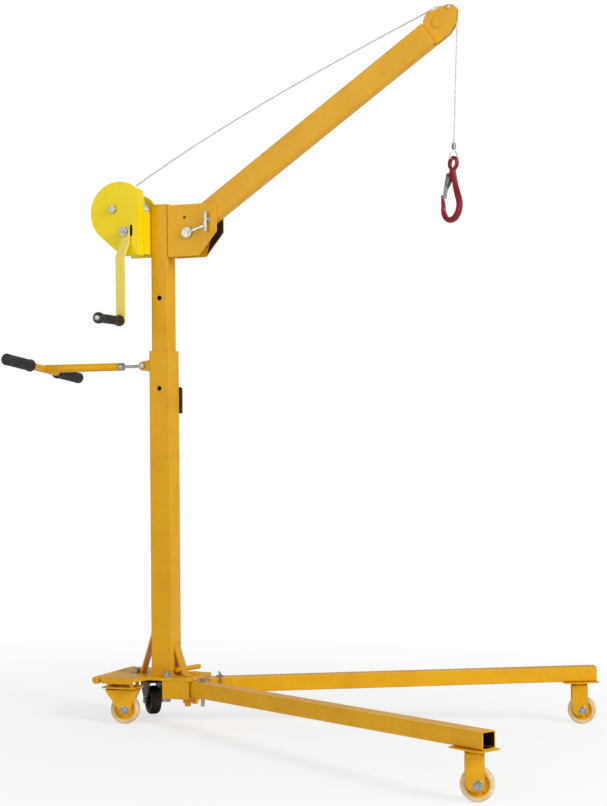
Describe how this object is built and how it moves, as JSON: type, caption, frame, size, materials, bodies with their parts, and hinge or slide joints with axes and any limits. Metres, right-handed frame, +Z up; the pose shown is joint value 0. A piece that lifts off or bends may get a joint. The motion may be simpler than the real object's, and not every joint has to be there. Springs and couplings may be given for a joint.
{
  "type": "portable gantry crane",
  "caption": "Wheeled portable crane: two splayed folding legs, a telescopic mast, a folding boom with a tip pulley, and a hand winch whose wire rope carries a latched hook.",
  "frame": {"origin": "bottom centre of the crane's box, on the floor under the wheels", "axes": "+X forwards along the boom and the legs, +Y to the left, +Z up; the mast leans back 2.4 degrees"},
  "size_m": [1.4336, 1.1562, 1.8245],
  "materials": {
    "black_rubber": "matte",
    "cream_polyurethane": "satin",
    "crimson_enamel": "gloss",
    "lemon_enamel": "gloss",
    "oiled_steel": "oiled",
    "pale_enamel": "semi-gloss",
    "steel_wire_rope": "stranded",
    "yellow_enamel": "semi-gloss",
    "zinc_plated_steel": "satin"
  },
  "bodies": {
    "base": {"base_top_plate": "yellow_enamel", "base_channel": "yellow_enamel", "base_bolt_near": "zinc_plated_steel", "base_bolt_far": "zinc_plated_steel", "base_bolt_rear": "zinc_plated_steel", "leg_pivot_bolt_near": "yellow_enamel", "leg_pivot_bolt_far": "yellow_enamel", "rear_bar": "yellow_enamel", "mast_outer_tube": "yellow_enamel", "clevis_pin": "zinc_plated_steel", "rear_caster_near_plate": "yellow_enamel", "rear_caster_far_plate": "yellow_enamel"},
    "leg_near_arm": {"leg_near": "yellow_enamel", "leg_stub_near": "yellow_enamel", "front_caster_near_plate": "yellow_enamel"},
    "leg_far_arm": {"leg_far": "yellow_enamel", "leg_stub_far": "yellow_enamel", "front_caster_far_plate": "yellow_enamel"},
    "leg_near_lock": {"leg_pin_near": "zinc_plated_steel"},
    "leg_far_lock": {"leg_pin_far": "zinc_plated_steel"},
    "inner_mast": {"mast_inner_tube": "yellow_enamel", "mast_cap": "yellow_enamel", "head_bracket": "yellow_enamel", "boom_pivot_pin": "zinc_plated_steel", "winch_frame": "lemon_enamel", "gear_cover": "lemon_enamel", "drum_shaft": "zinc_plated_steel"},
    "mast_lock": {"mast_lock_pin": "zinc_plated_steel"},
    "boom_lock": {"boom_lock_pin": "zinc_plated_steel"},
    "boom": {"boom_tube": "yellow_enamel", "tip_plate_near": "yellow_enamel", "tip_plate_far": "yellow_enamel", "rope_guard_pin": "zinc_plated_steel", "pulley_axle": "yellow_enamel", "rope_run": "steel_wire_rope"},
    "pulley_wheel": {"pulley": "zinc_plated_steel"},
    "winding_drum": {"drum": "oiled_steel", "rope_on_drum": "steel_wire_rope"},
    "crank": {"crank_shaft": "zinc_plated_steel", "crank_arm": "pale_enamel", "crank_grip_bolt": "zinc_plated_steel"},
    "crank_handle": {"crank_grip": "black_rubber"},
    "fall": {"rope_fall": "steel_wire_rope"},
    "hoist": {"rope_ferrule": "zinc_plated_steel"},
    "hook_swing": {"rope_loop": "steel_wire_rope", "hook": "crimson_enamel"},
    "latch": {"hook_latch": "zinc_plated_steel"},
    "tow_handle": {"handle_rod": "zinc_plated_steel", "handle_stem": "yellow_enamel", "handle_crossbar": "yellow_enamel", "handle_grip_near": "black_rubber", "handle_grip_far": "black_rubber"},
    "front_caster_near_yoke": {"front_caster_near_fork": "yellow_enamel"},
    "front_caster_near_roller": {"front_caster_near_wheel": "cream_polyurethane"},
    "front_caster_far_yoke": {"front_caster_far_fork": "yellow_enamel"},
    "front_caster_far_roller": {"front_caster_far_wheel": "cream_polyurethane"},
    "rear_caster_near_yoke": {"rear_caster_near_fork": "yellow_enamel"},
    "rear_caster_near_roller": {"rear_caster_near_wheel": "cream_polyurethane"},
    "rear_caster_far_yoke": {"rear_caster_far_fork": "oiled_steel"},
    "rear_caster_far_roller": {"rear_caster_far_wheel": "black_rubber"}
  },
  "joints": [
    {"name": "front_caster_near_swivel", "type": "hinge", "parent": "leg_near_arm", "child": "front_caster_near_yoke", "pos_m": [0.66151, -0.52843, 0.11394], "axis": [-0.0413, 0, 0.9991], "continuous": true},
    {"name": "front_caster_near_roll", "type": "hinge", "parent": "front_caster_near_yoke", "child": "front_caster_near_roller", "pos_m": [0.67036, -0.52657, 0.03784], "axis": [-0.3088, 0.9511, -0.0127], "continuous": true},
    {"name": "front_caster_far_swivel", "type": "hinge", "parent": "leg_far_arm", "child": "front_caster_far_yoke", "pos_m": [0.66151, 0.52843, 0.11394], "axis": [-0.0413, 0, 0.9991], "continuous": true},
    {"name": "front_caster_far_roll", "type": "hinge", "parent": "front_caster_far_yoke", "child": "front_caster_far_roller", "pos_m": [0.67036, 0.53028, 0.03784], "axis": [-0.3088, 0.9511, -0.0127], "continuous": true},
    {"name": "rear_caster_near_swivel", "type": "hinge", "parent": "base", "child": "rear_caster_near_yoke", "pos_m": [-0.39216, -0.085, 0.09545], "axis": [-0.0413, 0, 0.9991], "continuous": true},
    {"name": "rear_caster_near_roll", "type": "hinge", "parent": "rear_caster_near_yoke", "child": "rear_caster_near_roller", "pos_m": [-0.38407, -0.08315, 0.03784], "axis": [-0.3088, 0.9511, -0.0127], "continuous": true},
    {"name": "rear_caster_far_swivel", "type": "hinge", "parent": "base", "child": "rear_caster_far_yoke", "pos_m": [-0.39216, 0.085, 0.09545], "axis": [-0.0413, 0, 0.9991], "continuous": true},
    {"name": "rear_caster_far_roll", "type": "hinge", "parent": "rear_caster_far_yoke", "child": "rear_caster_far_roller", "pos_m": [-0.38568, 0.08061, 0.03777], "axis": [0.7307, 0.682, 0.0302], "continuous": true},
    {"name": "leg_near_fold", "type": "hinge", "parent": "base", "child": "leg_near_arm", "pos_m": [-0.23727, -0.0226, 0.07713], "axis": [0.0413, 0, -0.9991], "range_deg": [-26, 0]},
    {"name": "leg_far_fold", "type": "hinge", "parent": "base", "child": "leg_far_arm", "pos_m": [-0.23727, 0.0226, 0.07713], "axis": [-0.0413, 0, 0.9991], "range_deg": [-26, 0]},
    {"name": "leg_near_pin_pull", "type": "slide", "parent": "leg_near_arm", "child": "leg_near_lock", "axis": [-0.0413, 0, 0.9991], "range_m": [0, 0.07]},
    {"name": "leg_far_pin_pull", "type": "slide", "parent": "leg_far_arm", "child": "leg_far_lock", "axis": [-0.0413, 0, 0.9991], "range_m": [0, 0.07]},
    {"name": "mast_slide", "type": "slide", "parent": "base", "child": "inner_mast", "axis": [-0.0413, 0, 0.9991], "range_m": [-0.235, 0]},
    {"name": "mast_pin_pull", "type": "slide", "parent": "base", "child": "mast_lock", "axis": [0, 1, 0], "range_m": [0, 0.03]},
    {"name": "boom_pin_pull", "type": "slide", "parent": "inner_mast", "child": "boom_lock", "axis": [0, -1, 0], "range_m": [0, 0.03]},
    {"name": "boom_fold", "type": "hinge", "parent": "inner_mast", "child": "boom", "pos_m": [-0.27544, 0, 1.26816], "axis": [0, 1, 0], "range_deg": [0, 100]},
    {"name": "fall_swing", "type": "hinge", "parent": "boom", "child": "fall", "pos_m": [0.37822, 0, 1.78173], "axis": [0, 1, 0], "range_deg": [-100, 0]},
    {"name": "pulley_spin", "type": "hinge", "parent": "boom", "child": "pulley_wheel", "pos_m": [0.37822, 0, 1.78173], "axis": [0, 1, 0], "continuous": true},
    {"name": "drum_spin", "type": "hinge", "parent": "inner_mast", "child": "winding_drum", "pos_m": [-0.45956, 0, 1.32312], "axis": [0, 1, 0], "continuous": true},
    {"name": "crank_spin", "type": "hinge", "parent": "inner_mast", "child": "crank", "pos_m": [-0.4184, 0, 1.26426], "axis": [0, 1, 0], "continuous": true},
    {"name": "grip_spin", "type": "hinge", "parent": "crank", "child": "crank_handle", "pos_m": [-0.40681, -0.1333, 1.03255], "axis": [0, 1, 0], "continuous": true},
    {"name": "hoist", "type": "slide", "parent": "fall", "child": "hoist", "axis": [0, 0, -1], "range_m": [-0.2, 0], "deforming": ["rope_fall"]},
    {"name": "hook_turn", "type": "hinge", "parent": "hoist", "child": "hook_swing", "pos_m": [0.42522, 0, 1.46873], "axis": [0, 0, 1], "range_deg": [-90, 90]},
    {"name": "latch_open", "type": "hinge", "parent": "hook_swing", "child": "latch", "pos_m": [0.41723, 0.00602, 1.40322], "axis": [-0.6018, -0.7986, 0], "range_deg": [0, 30], "stiffness_Nm_per_rad": 0.05, "springref_deg": -11.46},
    {"name": "tow_handle_fold", "type": "hinge", "parent": "base", "child": "tow_handle", "pos_m": [-0.39825, 0, 0.9218], "axis": [0, 1, 0], "range_deg": [-80, 15]}
  ],
  "couplings": [
    {"joint": "fall_swing", "follows": "boom_fold", "ratio": -1},
    {"joint": "crank_spin", "follows": "drum_spin", "ratio": -4}
  ]
}
